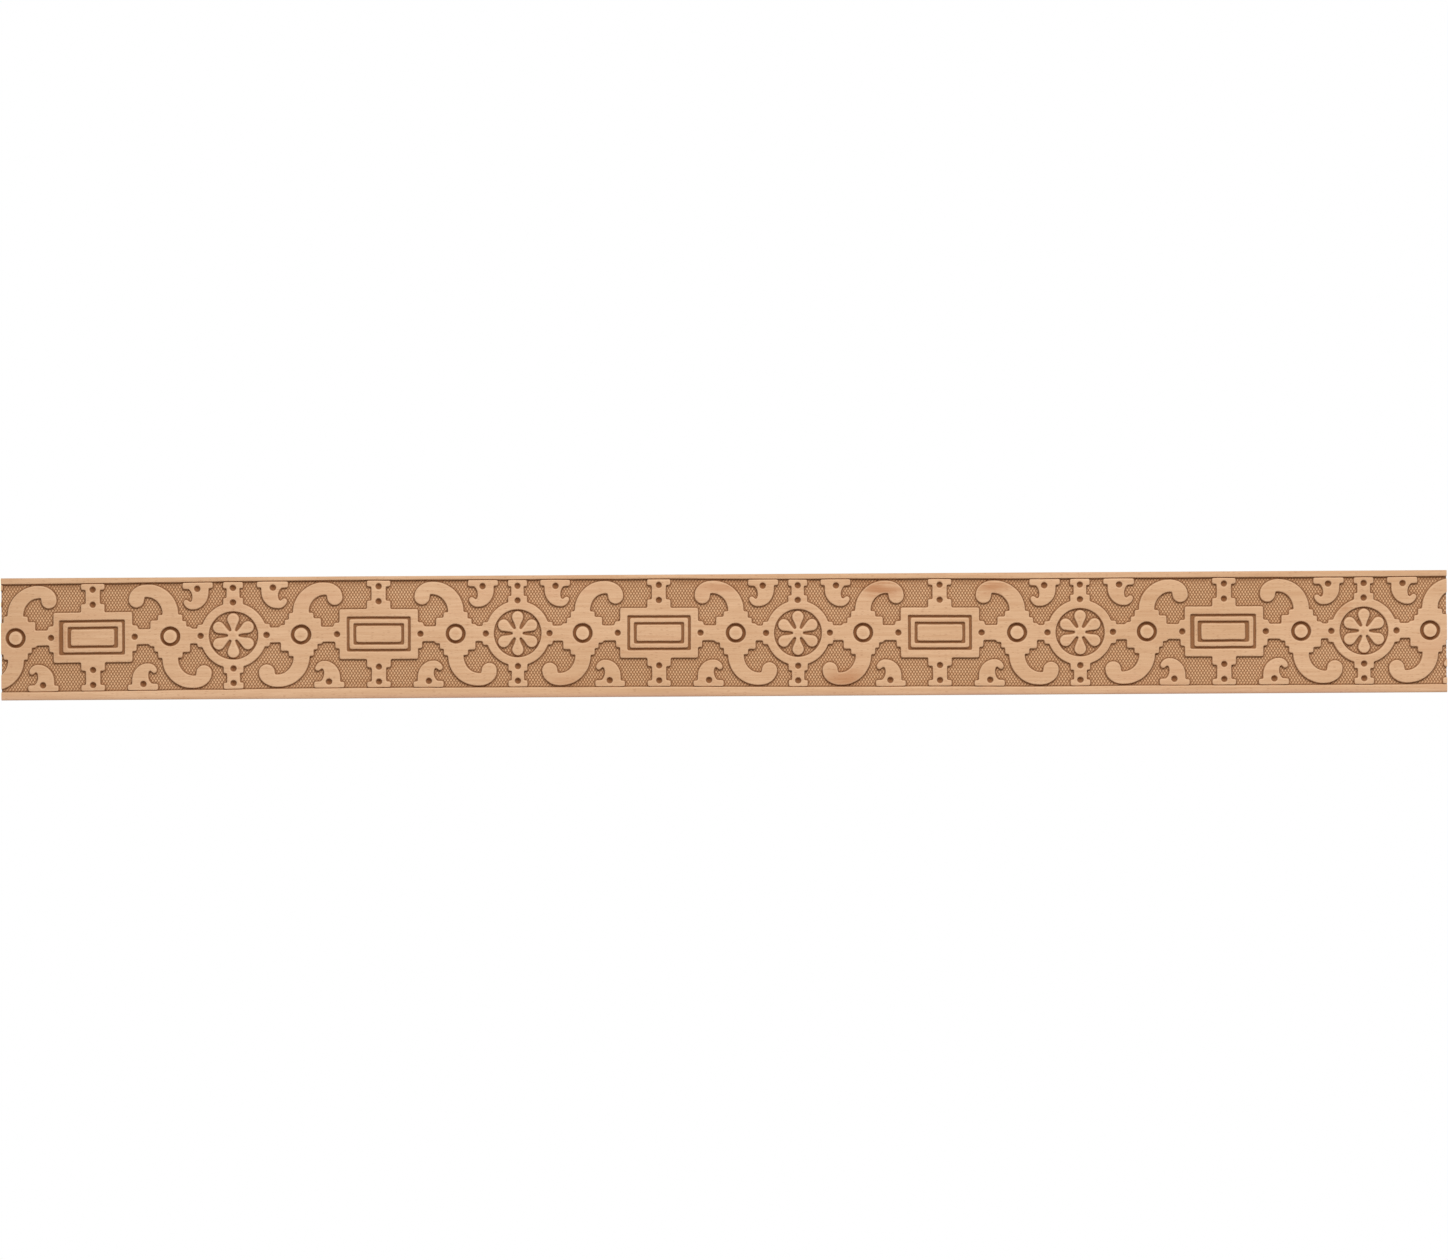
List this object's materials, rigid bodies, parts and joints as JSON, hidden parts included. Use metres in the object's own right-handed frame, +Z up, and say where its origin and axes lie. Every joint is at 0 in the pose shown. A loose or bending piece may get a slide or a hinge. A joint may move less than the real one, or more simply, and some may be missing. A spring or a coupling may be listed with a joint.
{
  "type": "carved wooden moulding",
  "caption": "Straight length of flat wooden frieze moulding: strapwork, rosettes, tablets and scrolls in low relief on a cross-hatched ground between plain fillets.",
  "frame": {"origin": "centre of the flat back face", "axes": "+X along the run, +Z up across the width, +Y out of the back face, so the carved face looks along -Y"},
  "size_m": [1, 0.01, 0.0844],
  "materials": {
    "beech": "raw, sanded, satin"
  },
  "bodies": {
    "root": {"moulding": "beech"}
  },
  "joints": []
}
